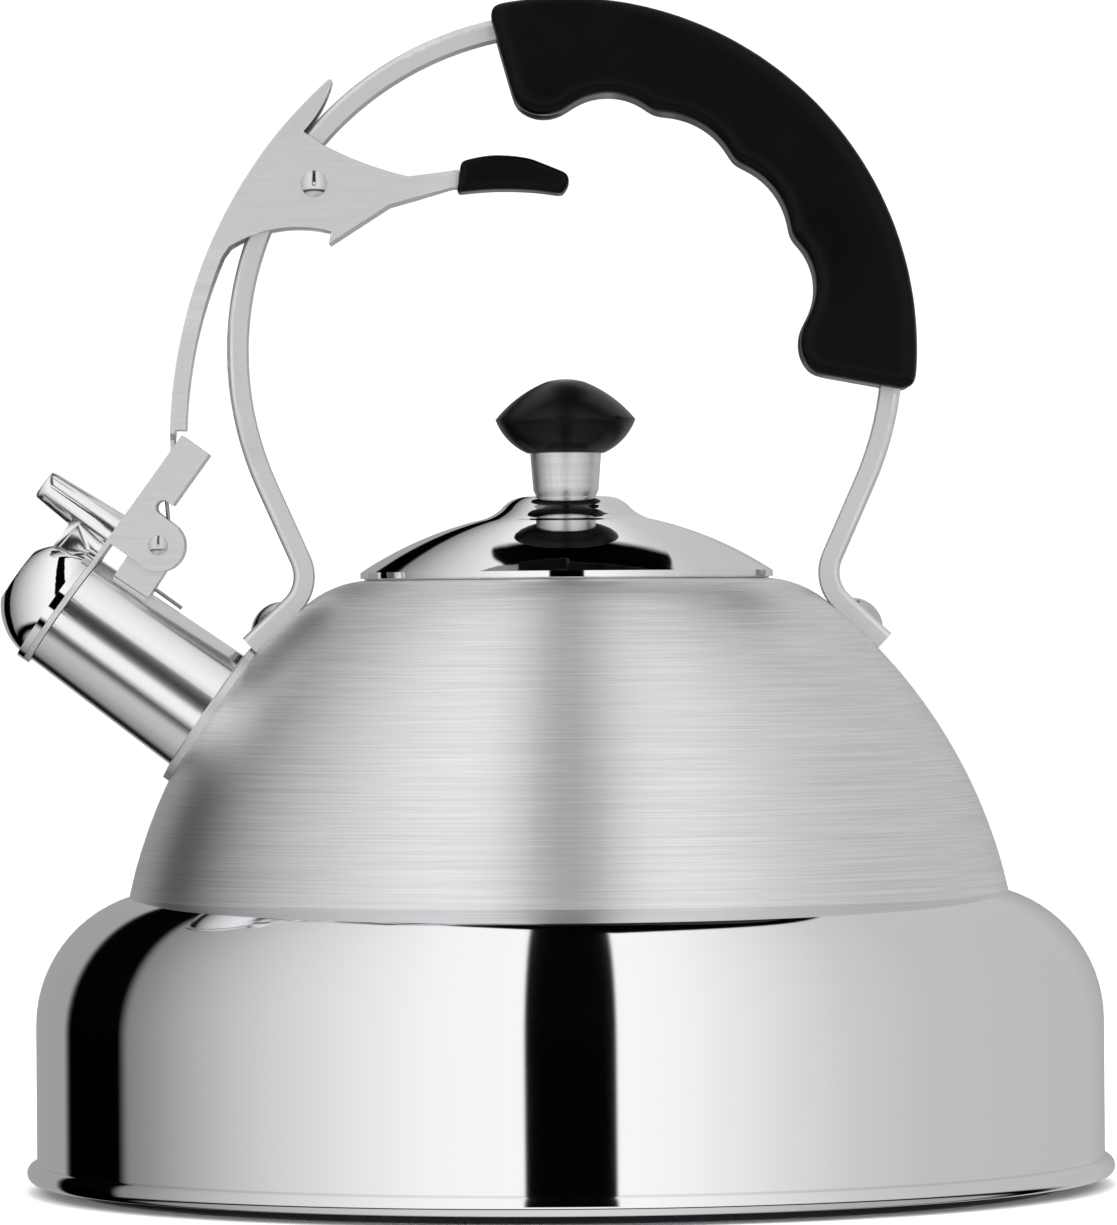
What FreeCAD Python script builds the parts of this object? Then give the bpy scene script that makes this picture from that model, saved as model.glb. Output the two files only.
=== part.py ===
"""Stovetop whistling kettle, as a parametric document. Millimetres, +Z up.

The origin is the centre of the base, where it stands on the hob. The spout points to -X.
Sizes holds the driving dimensions and Derived holds what is worked out from them.
"""

import FreeCAD, Part
import math
import os
import re

import Sketcher
from FreeCAD import Placement, Rotation, Vector

OUT = "parts"
UP = Vector(0, 0, 1)
ACROSS = Vector(0, 1, 0)

SIZES = [
    # body shells
    ("sheet", 0.8, "thickness of the drawn shells"),
    ("wall_radius", 108.0, "outside of the lower shell"),
    ("wall_height", 33.0, "where the lower wall turns into the shoulder"),
    ("shoulder_arc", 27.0, "outside radius of the shoulder"),
    ("seam_radius", 89.0, "where the dome meets the lower shell"),
    ("seam_lap", 4.0, "how far the dome's skirt runs down inside the lower shell"),
    ("bead_radius", 2.0, "rolled bead round the foot"),
    ("bead_height", 3.5, "centre of the bead above the hob"),
    ("floor_height", 4.2, "underside of the lower shell's floor"),
    ("cap_sheet", 0.8, "magnetic steel base cap"),
    ("disc_radius", 99.6, "aluminium disc in the base"),
    ("dome_rise", 59.1, "seam to the start of the crown"),
    ("dome_arc", 104.0, "outside radius of the dome's side"),
    ("crown_run", 12.8, "radial width of the crown round the lid's seat"),
    ("crown_rise", 4.6, "height of the crown"),
    ("crown_arc", 20.5, "outside radius of the crown"),
    ("mouth_radius", 37.2, "inside of the filling mouth"),
    ("seat_width", 2.4, "flat that the lid sits on"),
    ("mouth_depth", 5.0, "depth of the turned-down neck"),
    # lid
    ("rim_gap", 0.3, "lid's outer edge above its seat"),
    ("lid_overlap", 4.6, "how far the lid reaches past the mouth"),
    ("lid_sheet", 0.8, "lid shell"),
    ("lid_rise", 11.9, "lid's seat to the foot of the boss"),
    ("lid_arc", 75.0, "outside radius of the lid's dome"),
    ("lid_edge", 1.2, "upright edge of the lid"),
    ("boss_foot", 18.0, "radius where the boss starts"),
    ("boss_waist", 13.2, "radius where the boss turns from hollow to round"),
    ("boss_top", 8.2, "radius of the boss's flat top"),
    ("boss_mid_rise", 2.3, "boss foot to waist"),
    ("boss_rise", 4.8, "boss foot to top"),
    ("boss_hollow", 9.6, "hollow curve at the boss's foot"),
    ("boss_round", 6.6, "round edge of the boss"),
    ("skirt_gap", 0.4, "lid skirt inside the mouth"),
    ("skirt_depth", 9.0, "lid skirt below the rim"),
    ("ferrule_foot", 6.0, "bottom radius of the knob's ferrule"),
    ("ferrule_low", 6.6, "radius above the ferrule's chamfer"),
    ("ferrule_top", 7.2, "top radius of the ferrule"),
    ("ferrule_height", 8.8, "height of the ferrule"),
    ("knob_foot", 7.8, "bottom radius of the knob"),
    ("knob_radius", 14.2, "edge radius of the knob"),
    ("knob_low", 6.8, "height of the knob's edge above its foot"),
    ("knob_height", 15.0, "whole height of the knob"),
    ("knob_low_arc", 12.0, "flank below the knob's edge"),
    ("knob_top_arc", 25.0, "slope of the knob's top"),
    ("knob_button", 4.0, "radius of the rounded middle of the knob's top"),
    ("button_rise", 0.6, "height of that middle"),
    ("screw_radius", 2.0, "knob screw shank"),
    ("screw_grip", 10.0, "screw thread inside the knob"),
    ("screw_head", 3.9, "knob screw head radius"),
    ("screw_head_height", 2.2, "knob screw head height"),
    ("washer_radius", 6.0, "washer under the boss"),
    ("washer_thick", 0.8, "washer thickness"),
    # spout
    ("spout_tilt", 36.0, "spout axis above the hob, degrees"),
    ("spout_reach", 101.3, "spout mouth from the kettle's axis"),
    ("spout_height", 117.0, "spout mouth above the hob"),
    ("spout_radius", 12.3, "outside of the spout at its mouth"),
    ("spout_flare", 1.0, "radius gained down to the dome"),
    ("spout_length", 34.0, "length over which the flare is measured"),
    ("spout_sheet", 0.9, "spout wall"),
    ("flange_radius", 16.2, "flange round the spout's root"),
    ("flange_thick", 1.4, "flange thickness"),
    # cap hinge, measured from the spout mouth: back along the axis and out from it
    ("hinge_back", 7.7, "hinge pin behind the mouth"),
    ("hinge_out", 21.5, "hinge pin out from the spout axis"),
    ("hinge_pin", 1.2, "hinge pin radius"),
    ("hinge_head", 1.95, "hinge pin head radius"),
    ("pin_gap", 0.05, "running clearance round a pin"),
    ("side_gap", 0.3, "side clearance between hinged plates"),
    ("bracket_sheet", 1.0, "cap bracket and clevis sheet"),
    ("clevis_width", 10.4, "outside width of the fixed clevis"),
    ("clevis_front", 4.0, "front of the clevis behind the mouth"),
    ("clevis_back", 12.3, "back of the clevis behind the mouth"),
    ("clevis_lobe", 4.0, "radius of the clevis round the pin"),
    ("ear_lobe", 5.3, "radius of the bracket's ears round the pin"),
    ("ring_gap", 0.15, "bracket ring in front of the spout mouth"),
    ("ring_thick", 1.2, "bracket ring thickness"),
    ("ring_radius", 13.2, "bracket ring outside radius"),
    ("ring_bore", 9.6, "bracket ring bore"),
    ("strip_top", 42.4, "top of the bracket strip, out from the spout axis"),
    ("strip_flange", 5.4, "depth of the strip's side flanges"),
    ("notch_out", 28.3, "notch above the ear lobe, out from the axis"),
    ("notch_radius", 1.4, "notch radius"),
    ("slot_low", 28.6, "slot foot, out from the axis"),
    ("slot_high", 40.0, "slot head, out from the axis"),
    ("slot_width", 5.6, "slot width"),
    # whistle cap
    ("rim_thick", 1.5, "cap rim flange"),
    ("cap_rim", 13.3, "cap rim radius"),
    ("cap_root", 12.2, "cap bowl radius at its rim"),
    ("cap_depth", 9.3, "cap bowl depth"),
    ("cap_face", 6.0, "radius of the cap's flat face"),
    ("cap_arc", 12.5, "radius of the cap's rounded side"),
    ("cap_wall", 0.8, "cap wall"),
    ("horn_out", 18.1, "whistle horn axis out from the spout axis"),
    ("horn_tip", 15.8, "horn tip in front of the cap rim"),
    ("horn_front", 3.15, "horn radius at its tip"),
    ("horn_back", 4.4, "horn radius at its root"),
    ("horn_bore", 2.3, "steam passage in the horn"),
    ("neck_width", 6.0, "web between horn and cap"),
    ("neck_front", 6.8, "front of that web before the rim"),
    ("plate_thick", 0.6, "whistle plates"),
    ("plate_hole", 1.5, "hole in each whistle plate"),
    ("cup_radius", 8.5, "whistle cup outside radius"),
    ("cup_height", 3.4, "whistle cup height"),
    # handle
    ("bow_radius", 66.3, "handle bow, to the middle of the strap"),
    ("bow_height", 168.7, "centre of the bow above the hob"),
    ("bow_end", 24.0, "where the bow ends below its centre, degrees"),
    ("strap_width", 12.0, "strap width"),
    ("strap_depth", 4.0, "strap depth"),
    ("strap_sheet", 1.0, "strap wall"),
    ("strap_bend", 1.3, "outside radius of the strap's long edges"),
    ("knee_arc", 8.2, "bend of the strap above its foot"),
    ("foot_radius", 58.4, "middle of the foot from the kettle's axis"),
    ("foot_half", 6.4, "foot beyond its rivet"),
    ("foot_bite", 0.35, "how deep the foot's edges are shaped to the dome"),
    ("rivet_radius", 2.0, "foot rivet shank"),
    ("rivet_head", 4.3, "foot rivet head radius"),
    ("rivet_rise", 1.7, "foot rivet head height"),
    ("tail_radius", 3.4, "foot rivet tail radius"),
    ("tail_thick", 1.2, "foot rivet tail thickness"),
    ("foot_washer", 5.4, "inside washer radius"),
    # grip
    ("grip_width", 23.0, "grip width"),
    ("grip_outer", 71.1, "outside of the grip from the bow centre"),
    ("grip_high", 102.3, "upper end of the grip, degrees"),
    ("grip_low", -7.2, "lower end of the grip, degrees"),
    ("grip_ridge", 51.0, "ridge between two fingers from the bow centre"),
    ("finger_pitch", 21.2, "degrees from ridge to ridge"),
    ("finger_arc", 15.8, "radius of a finger hollow"),
    ("end_arc", 13.0, "radius of the first and last hollow"),
    ("swell_radius", 48.4, "start of each end swell from the bow centre"),
    ("swell_end", 50.6, "end of each swell from the bow centre"),
    ("swell_span", 11.6, "degrees taken by each end swell"),
    ("swell_arc", 8.0, "radius of the end swells"),
    ("end_lean", 1.2, "how far each swell stays inside the grip's end, degrees"),
    ("grip_screw", 1.5, "grip screw shank"),
    ("grip_screw_head", 2.8, "grip screw head radius"),
    ("grip_screw_seat", 54.0, "seat of the screw head from the bow centre"),
    ("grip_screw_end", 70.0, "end of the grip screw from the bow centre"),
    # lever
    ("pivot_x", -50.4, "lever pivot"),
    ("pivot_z", 202.6, "lever pivot"),
    ("pivot_pin", 1.6, "lever rivet radius"),
    ("pivot_head", 2.65, "lever rivet head radius"),
    ("lug_lobe", 3.6, "lug radius round the lever rivet"),
    ("back_arc", 100.0, "outside radius of the lever's back"),
    ("back_x", 20.0, "centre of the lever's back"),
    ("back_z", 150.0, "centre of the lever's back"),
    ("lever_sheet", 1.0, "lever sheet"),
    ("spike_end", 132.3, "tip of the lever's top, degrees round its back"),
    ("arm_end", 178.2, "end of the long arm's flanges, degrees round the back"),
    ("cheek_low", 156.8, "foot of the cheeks, degrees round the back"),
    ("tongue_end", 183.3, "end of the tongue, degrees round the back"),
    ("spike_half", 3.0, "half width of the lever's tip"),
    ("arm_half", 4.5, "half width of the long arm"),
    ("arm_depth", 3.2, "depth of the long arm"),
    ("tongue_half", 2.3, "half width of the tongue"),
    ("trigger_half", 4.6, "half width of the trigger arm"),
    ("trigger_reach", 49.0, "trigger end in front of the pivot"),
    ("sleeve_width", 13.0, "width of the soft sleeve"),
    ("sleeve_start", 28.6, "start of the sleeve in front of the pivot"),
    ("sleeve_end", 51.8, "end of the sleeve in front of the pivot"),
    # return spring
    ("spring_wire", 0.4, "spring wire radius"),
    ("spring_coil", 2.4, "spring coil mean radius"),
    ("spring_pitch", 1.7, "spring pitch"),
    ("spring_turns", 4, "whole turns of the spring"),
    ("spring_lean", 49.3, "how far past a whole turn the free leg leaves, degrees"),
]

DERIVED = [
    ("seam_height", "wall_height + sqrt(shoulder_arc^2 - (seam_radius - wall_radius + shoulder_arc)^2)"),
    ("shoulder_x", "wall_radius - shoulder_arc"),
    ("crown_radius", "mouth_radius + seat_width + crown_run"),
    ("crown_height", "seam_height + dome_rise"),
    ("top_height", "crown_height + crown_rise"),
    ("dome_chord", "sqrt((seam_radius - crown_radius)^2 + dome_rise^2)"),
    ("dome_sink", "sqrt(dome_arc^2 - dome_chord^2 / 4)"),
    ("dome_x", "(seam_radius + crown_radius) / 2 - dome_sink * dome_rise / dome_chord"),
    ("dome_z", "seam_height + dome_rise / 2 - dome_sink * (seam_radius - crown_radius) / dome_chord"),
    ("dome_in", "dome_arc - sheet"),
    ("lid_radius", "mouth_radius + lid_overlap"),
    ("boss_height", "top_height + lid_rise"),
    ("lid_top", "boss_height + boss_rise"),
    ("ferrule_end", "lid_top + ferrule_height"),
    ("skirt_radius", "mouth_radius - skirt_gap"),
    ("ring_front", "ring_gap + ring_thick"),
    ("rim_front", "ring_front + rim_thick"),
    ("bracket_width", "clevis_width + 2 * side_gap + 2 * bracket_sheet"),
    ("foot_surface", "dome_z + sqrt(dome_arc^2 - (foot_radius - dome_x)^2)"),
    ("foot_nx", "(foot_radius - dome_x) / dome_arc"),
    ("foot_nz", "(foot_surface - dome_z) / dome_arc"),
    ("foot_lift", "strap_depth / 2 - foot_bite"),
    ("foot_x", "foot_radius + foot_nx * foot_lift"),
    ("foot_z", "foot_surface + foot_nz * foot_lift"),
    ("bow_end_x", "bow_radius * cos(bow_end)"),
    ("bow_end_z", "bow_height - bow_radius * sin(bow_end)"),
    ("leg_run", "((bow_end_x - foot_x) * foot_nx + (bow_end_z - foot_z) * foot_nz)"
                " / (sin(bow_end) * foot_nx + cos(bow_end) * foot_nz)"),
    ("knee_x", "bow_end_x - leg_run * sin(bow_end)"),
    ("knee_z", "bow_end_z - leg_run * cos(bow_end)"),
    ("knee_turn", "acos(cos(bow_end) * foot_nx - sin(bow_end) * foot_nz)"),
    ("knee_cut", "knee_arc * tan(knee_turn / 2)"),
    ("strap_in", "bow_radius - strap_depth / 2"),
    ("strap_out", "bow_radius + strap_depth / 2"),
    ("cheek_inner", "strap_width / 2 + side_gap"),
    ("cheek_outer", "cheek_inner + lever_sheet"),
    ("back_in", "back_arc - lever_sheet"),
    ("arm_in", "back_arc - arm_depth"),
]

doc = FreeCAD.newDocument("Kettle")
sheet = doc.addObject("Spreadsheet::Sheet", "Sizes")
for row, (alias, number, note) in enumerate(SIZES, 1):
    sheet.set(f"A{row}", note)
    sheet.set(f"B{row}", str(number))
    sheet.setAlias(f"B{row}", alias)
doc.recompute()
derived = doc.addObject("App::VarSet", "Derived")

HOME = {alias: "Sizes" for alias, _, _ in SIZES}
KNOWN = re.compile(r"\b[a-z]+(?:_[a-z]+)*\b")


def formula(text):
    """An expression with each size's name led by the object that holds it."""
    return KNOWN.sub(lambda m: f"{HOME[m[0]]}.{m[0]}" if m[0] in HOME else m[0], text)


def value(text):
    """The number that an expression has now."""
    if isinstance(text, (int, float)):
        return float(text)
    found = sheet.evalExpression(formula(text))
    return float(getattr(found, "Value", found))


for name, text in DERIVED:
    derived.addProperty("App::PropertyFloat", name)
    derived.setExpression(name, formula(text.replace("acos(", "1 / 1deg * acos(")))
    HOME[name] = "Derived"
    doc.recompute()


def plane(body, role):
    return next(f for f in body.Origin.OriginFeatures if f.Role == role)


def new_body(name):
    return doc.addObject("PartDesign::Body", name)


def arc_through(a, b, radius, turn):
    """The circle of an arc from a to b, with its centre on the left when turn is 1, else on the right."""
    half = (b - a) * 0.5
    side = Vector(-half.y, half.x, 0)
    side.normalize()
    sink = math.sqrt(max(radius**2 - half.Length**2, 0.0))
    return Part.Circle(a + half + side * sink * turn, UP, radius)


def hold(sketch, kind, where, text):
    """Adds one dimension to a sketch and binds it to its expression."""
    held = sketch.addConstraint(Sketcher.Constraint(kind, *where, value(text)))
    if isinstance(text, str):
        sketch.setExpression(f"Constraints[{held}]", formula(text))


def new_sketch(body, name, role):
    sketch = body.newObject("Sketcher::SketchObject", name)
    sketch.AttachmentSupport = (plane(body, role), [""])
    sketch.MapMode = "FlatFace"
    return sketch


def outline(body, name, role, points, arcs=None, closed=True):
    """A sketch through points, each a pair of expressions. arcs: {edge: (radius, 1 or -1 for left turns)}."""
    arcs = arcs or {}
    sketch = new_sketch(body, name, role)
    at = [Vector(value(x), value(y), 0) for x, y in points]
    count = len(points) if closed else len(points) - 1
    ends = []
    for i in range(count):
        a, b = at[i], at[(i + 1) % len(points)]
        if i not in arcs:
            sketch.addGeometry(Part.LineSegment(a, b), False)
            ends.append((1, 2))
            continue
        radius, turn = arcs[i]
        circle = arc_through(a, b, value(radius), turn)
        first, last = (a, b) if turn > 0 else (b, a)
        first, last = circle.parameter(first), circle.parameter(last)
        sketch.addGeometry(Part.ArcOfCircle(circle, first, last), False)
        ends.append((1, 2) if turn > 0 else (2, 1))
    for i in range(count if closed else count - 1):
        j = (i + 1) % count
        sketch.addConstraint(Sketcher.Constraint("Coincident", i, ends[i][1], j, ends[j][0]))
    for i, (x, y) in enumerate(points):
        edge, end = (i, ends[i][0]) if i < count else (count - 1, ends[-1][1])
        hold(sketch, "DistanceX", (-1, 1, edge, end), x)
        hold(sketch, "DistanceY", (-1, 1, edge, end), y)
    for i, (radius, _) in arcs.items():
        hold(sketch, "Radius", (i,), radius)
    return sketch


def ring_sketch(body, name, role, x, y, radius):
    """A sketch with one circle, its centre and radius given as expressions."""
    sketch = new_sketch(body, name, role)
    sketch.addGeometry(Part.Circle(Vector(value(x), value(y), 0), UP, value(radius)), False)
    hold(sketch, "DistanceX", (-1, 1, 0, 3), x)
    hold(sketch, "DistanceY", (-1, 1, 0, 3), y)
    hold(sketch, "Radius", (0,), radius)
    return sketch


def turned(name, points, arcs=None, place=None):
    """A body of revolution round its own Z axis, from an outline (radius, height)."""
    body = new_body(name)
    sketch = outline(body, name + "_profile", "XZ_Plane", points, arcs)
    spin = body.newObject("PartDesign::Revolution", name + "_revolution")
    spin.Profile = sketch
    spin.ReferenceAxis = (sketch, ["V_Axis"])
    spin.Angle = 360
    if place:
        body.Placement = place
    return body


def across(body, sketch, width, solid=True):
    """Pads or pockets a sketch evenly to both sides of its plane."""
    kind = "PartDesign::Pad" if solid else "PartDesign::Pocket"
    feature = body.newObject(kind, sketch.Name + ("_pad" if solid else "_pocket"))
    feature.Profile = sketch
    feature.SideType = "Symmetric"
    feature.Length = value(width)
    feature.setExpression("Length", formula(str(width)))
    return feature


def plate(name, points, width, arcs=None, place=None, role="XZ_Plane"):
    """A body padded from one outline, evenly to both sides of its plane."""
    body = new_body(name)
    across(body, outline(body, name + "_outline", role, points, arcs), width)
    if place:
        body.Placement = place
    return body


def drill(body, name, x, z, radius):
    """A hole through a body from side to side, at a point of its side view."""
    across(body, ring_sketch(body, name, "XZ_Plane", x, z, radius), "100", solid=False)


def box(name, low, high, place=None):
    """A box between two corners, each a triple of expressions."""
    made = doc.addObject("Part::Box", name)
    for side, a, b in zip(("Length", "Width", "Height"), low, high):
        setattr(made, side, value(b) - value(a))
        made.setExpression(side, formula(f"({b}) - ({a})"))
    made.Placement = (place or Placement()).multiply(Placement(Vector(*map(value, low)), Rotation()))
    return made


def join(name, *pieces):
    made = doc.addObject("Part::MultiFuse", name)
    made.Shapes = list(pieces)
    made.Refine = True
    return made


def cut(name, base, *tools):
    made = doc.addObject("Part::Cut", name)
    made.Base = base
    made.Tool = tools[0] if len(tools) == 1 else join(name + "_tools", *tools)
    made.Refine = True
    return made


def overlap_of(name, first, second):
    made = doc.addObject("Part::Common", name)
    made.Base = first
    made.Tool = second
    return made


def spout_place(out=0.0, along=0.0):
    """The spout's own frame: X out from its axis and up, Z out of its mouth, moved by out and along."""
    mouth = Vector(-value("spout_reach"), 0, value("spout_height"))
    turn = Rotation(ACROSS, value("spout_tilt") - 90)
    return Placement(mouth, turn).multiply(Placement(Vector(out, 0, along), Rotation()))


def foot_place(side):
    """A place on the dome at the middle of a foot, its Z axis out of the dome. side is 1 or -1."""
    tilt = math.degrees(math.atan2(value("foot_nx"), value("foot_nz")))
    at = Vector(side * value("foot_radius"), 0, value("foot_surface"))
    return Placement(at, Rotation(ACROSS, side * tilt))


def bow_place(degrees, radius):
    """A place round the bow, its Z axis pointing away from the bow's centre."""
    at = Placement(Vector(0, 0, value("bow_height")), Rotation(ACROSS, 90 - degrees))
    return at.multiply(Placement(Vector(0, 0, radius), Rotation()))


def crosswise(place):
    """The same place with its Z axis turned to run along Y."""
    return place.multiply(Placement(Vector(), Rotation(Vector(1, 0, 0), -90)))


def bow_point(radius, degrees):
    """An expression pair for a point round the bow's centre."""
    return (f"({radius}) * cos({degrees})", f"bow_height + ({radius}) * sin({degrees})")


def back_point(radius, degrees):
    """An expression pair for a point round the centre of the lever's back."""
    return (f"back_x + ({radius}) * cos({degrees})", f"back_z + ({radius}) * sin({degrees})")


def mirrored(points):
    """A closed outline from its right half, upwards, and the same points mirrored."""
    return [*points, *((f"-({x})", y) for x, y in reversed(points))]


NODES = []


def node(name, made):
    """Marks an object as one of the kettle's sub-parts."""
    made.Label = name
    NODES.append(made)
    return made


# body shells
def lower_shell():
    inner_end = "wall_height + sqrt((shoulder_arc - sheet)^2 - (seam_radius - shoulder_x)^2)"
    floor = "floor_height + sheet"
    return turned(
        "lower_shell_body",
        [
            (0, "floor_height"),
            (0, floor),
            ("wall_radius - sheet", floor),
            ("wall_radius - sheet", "wall_height"),
            ("seam_radius", inner_end),
            ("seam_radius", "seam_height"),
            ("wall_radius", "wall_height"),
            ("wall_radius", "bead_height + bead_radius"),
            ("wall_radius + bead_radius", "bead_height"),
            ("wall_radius", "bead_height - bead_radius"),
            ("wall_radius - bead_radius", "bead_height"),
            ("wall_radius - bead_radius", "floor_height"),
        ],
        {
            3: ("shoulder_arc - sheet", 1),
            5: ("shoulder_arc", -1),
            7: ("bead_radius", -1),
            8: ("bead_radius", -1),
            9: ("bead_radius", -1),
        },
    )


def dome_solid(name, growth):
    """The dome filled in, its outside grown by growth, from under the seam to its top."""
    side = f"dome_arc + ({growth})"
    rim = f"seam_radius + ({growth})"
    return turned(
        name,
        [
            (0, "seam_height - seam_lap"),
            (rim, "seam_height - seam_lap"),
            (rim, f"dome_z + sqrt(({side})^2 - ({rim} - dome_x)^2)"),
            (
                f"dome_x + (crown_radius - dome_x) * ({side}) / dome_arc",
                f"dome_z + (crown_height - dome_z) * ({side}) / dome_arc",
            ),
            ("mouth_radius + seat_width", f"top_height + ({growth})"),
            (0, f"top_height + ({growth})"),
        ],
        {2: (side, 1), 3: (f"crown_arc + ({growth})", 1)},
    )


def upper_dome(*holes):
    crown_in_x = "dome_x + (crown_radius - dome_x) * dome_in / dome_arc"
    crown_in_z = "dome_z + (crown_height - dome_z) * dome_in / dome_arc"
    seam_in_z = "dome_z + sqrt(dome_in^2 - (seam_radius - sheet - dome_x)^2)"
    shell = turned(
        "upper_dome_body",
        [
            ("seam_radius - sheet", "seam_height - seam_lap"),
            ("seam_radius", "seam_height - seam_lap"),
            ("seam_radius", "seam_height"),
            ("crown_radius", "crown_height"),
            ("mouth_radius + seat_width", "top_height"),
            ("mouth_radius", "top_height"),
            ("mouth_radius", "top_height - mouth_depth"),
            ("mouth_radius + sheet", "top_height - mouth_depth"),
            ("mouth_radius + sheet", "top_height - sheet"),
            ("mouth_radius + seat_width", "top_height - sheet"),
            (crown_in_x, crown_in_z),
            ("seam_radius - sheet", seam_in_z),
        ],
        {2: ("dome_arc", 1), 3: ("crown_arc", 1), 9: ("crown_arc - sheet", -1), 10: ("dome_in", -1)},
    )
    return cut("upper_dome_cut", shell, *holes)


def base_cap():
    """Magnetic steel cup under the aluminium disc, with its rim turned up round it."""
    return turned(
        "base_cap_body",
        [
            (0, 0),
            ("disc_radius + cap_sheet", 0),
            ("disc_radius + cap_sheet", "floor_height"),
            ("disc_radius", "floor_height"),
            ("disc_radius", "cap_sheet"),
            (0, "cap_sheet"),
        ],
    )


def heat_disc():
    low, high = "cap_sheet", "floor_height"
    return turned("heat_disc_body", [(0, low), ("disc_radius", low), ("disc_radius", high), (0, high)])


# lid
def lid_shell():
    edge = "top_height + rim_gap"
    rim = f"{edge} + lid_edge"
    waist = "boss_height + boss_mid_rise"
    hole = "screw_radius + pin_gap"
    return turned(
        "lid_shell_body",
        [
            ("lid_radius - lid_sheet", edge),
            ("lid_radius", edge),
            ("lid_radius", rim),
            ("boss_foot", "boss_height"),
            ("boss_waist", waist),
            ("boss_top", "lid_top"),
            (hole, "lid_top"),
            (hole, "lid_top - lid_sheet"),
            ("boss_top", "lid_top - lid_sheet"),
            ("boss_waist - lid_sheet * 0.77", f"{waist} - lid_sheet * 0.64"),
            ("boss_foot - lid_sheet * 0.32", "boss_height - lid_sheet * 0.95"),
            ("lid_radius - lid_sheet", f"{rim} - lid_sheet * 0.5"),
        ],
        {
            2: ("lid_arc", 1),
            3: ("boss_hollow", -1),
            4: ("boss_round", 1),
            8: ("boss_round - lid_sheet", -1),
            9: ("boss_hollow + lid_sheet", 1),
            10: ("lid_arc - lid_sheet", -1),
        },
    )


def lid_skirt():
    """Turned ring under the lid: a flange that sits on the dome and a neck that drops in the mouth."""
    low = "top_height - skirt_depth"
    high = "top_height + lid_sheet"
    return turned(
        "lid_skirt_body",
        [
            ("skirt_radius - lid_sheet", low),
            ("skirt_radius", low),
            ("skirt_radius", "top_height"),
            ("lid_radius - lid_sheet", "top_height"),
            ("lid_radius - lid_sheet", high),
            ("skirt_radius - lid_sheet", high),
        ],
    )


def knob_ferrule():
    bore = "screw_radius + pin_gap"
    return turned(
        "knob_ferrule_body",
        [
            (bore, "lid_top"),
            ("ferrule_foot", "lid_top"),
            ("ferrule_low", "lid_top + 2 * (ferrule_low - ferrule_foot)"),
            ("ferrule_top", "ferrule_end"),
            (bore, "ferrule_end"),
        ],
    )


def knob():
    return turned(
        "knob_body",
        [
            ("screw_radius", "ferrule_end"),
            ("knob_foot", "ferrule_end"),
            ("knob_radius", "ferrule_end + knob_low"),
            ("knob_button", "ferrule_end + knob_height - button_rise"),
            (0, "ferrule_end + knob_height"),
            (0, "ferrule_end + screw_grip"),
            ("screw_radius", "ferrule_end + screw_grip"),
        ],
        {1: ("knob_low_arc", 1), 2: ("knob_top_arc", 1), 3: (crown("knob_button", "button_rise"), 1)},
    )


def knob_washer():
    low, high = "lid_top - lid_sheet - washer_thick", "lid_top - lid_sheet"
    bore = "screw_radius + pin_gap"
    return turned(
        "knob_washer_body",
        [(bore, low), ("washer_radius", low), ("washer_radius", high), (bore, high)],
    )


def knob_screw():
    seat = "lid_top - lid_sheet - washer_thick"
    end = "ferrule_end + screw_grip"
    return turned(
        "knob_screw_body",
        [
            (0, f"{seat} - screw_head_height"),
            ("screw_head", f"{seat} - screw_head_height"),
            ("screw_head", seat),
            ("screw_radius", seat),
            ("screw_radius", end),
            (0, end),
        ],
    )


# spout
def spout_cone(name, shrink, top, bottom):
    """The spout's taper as a solid from top to bottom along its axis, its wall taken in by shrink."""
    def radius(along):
        return f"spout_radius - ({shrink}) - spout_flare * ({along}) / spout_length"
    return turned(
        name,
        [(0, bottom), (radius(bottom), bottom), (radius(top), top), (0, top)],
        place=spout_place(),
    )


def clevis():
    """Fixed hinge clevis on top of the spout: two ears and the base between them."""
    body = new_body("clevis_body")
    sides = outline(
        body, "clevis_side", "XZ_Plane",
        [
            ("hinge_out", "-hinge_back - clevis_lobe"),
            ("hinge_out + clevis_lobe", "-hinge_back"),
            ("hinge_out", "clevis_lobe - hinge_back"),
            ("spout_radius - 3", "-clevis_front"),
            ("spout_radius - 3", "-clevis_back"),
        ],
        {0: ("clevis_lobe", 1), 1: ("clevis_lobe", 1)},
    )
    across(body, sides, "clevis_width")
    middle = outline(
        body, "clevis_middle", "XZ_Plane",
        [
            ("spout_radius + bracket_sheet", "-clevis_back - 9"),
            ("spout_radius + bracket_sheet", "9"),
            ("hinge_out + 3 * clevis_lobe", "9"),
            ("hinge_out + 3 * clevis_lobe", "-clevis_back - 9"),
        ],
    )
    across(body, middle, "clevis_width - 2 * bracket_sheet", solid=False)
    drill(body, "clevis_hole", "hinge_out", "-hinge_back", "hinge_pin")
    body.Placement = spout_place()
    return body


def crown(radius, rise):
    """Radius of the sphere that rises so much over a circle of that radius."""
    return f"(({radius})^2 + ({rise})^2) / (2 * ({rise}))"


def riveted_pin(name, radius, head, half, rise, place):
    """A pin along its own Z axis, half to each side, with a domed head at each end."""
    return turned(
        name,
        [
            (0, f"-({half}) - {rise}"),
            (head, f"-({half})"),
            (radius, f"-({half})"),
            (radius, half),
            (head, half),
            (0, f"({half}) + {rise}"),
        ],
        {0: (crown(head, rise), 1), 4: (crown(head, rise), 1)},
        place,
    )


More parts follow.
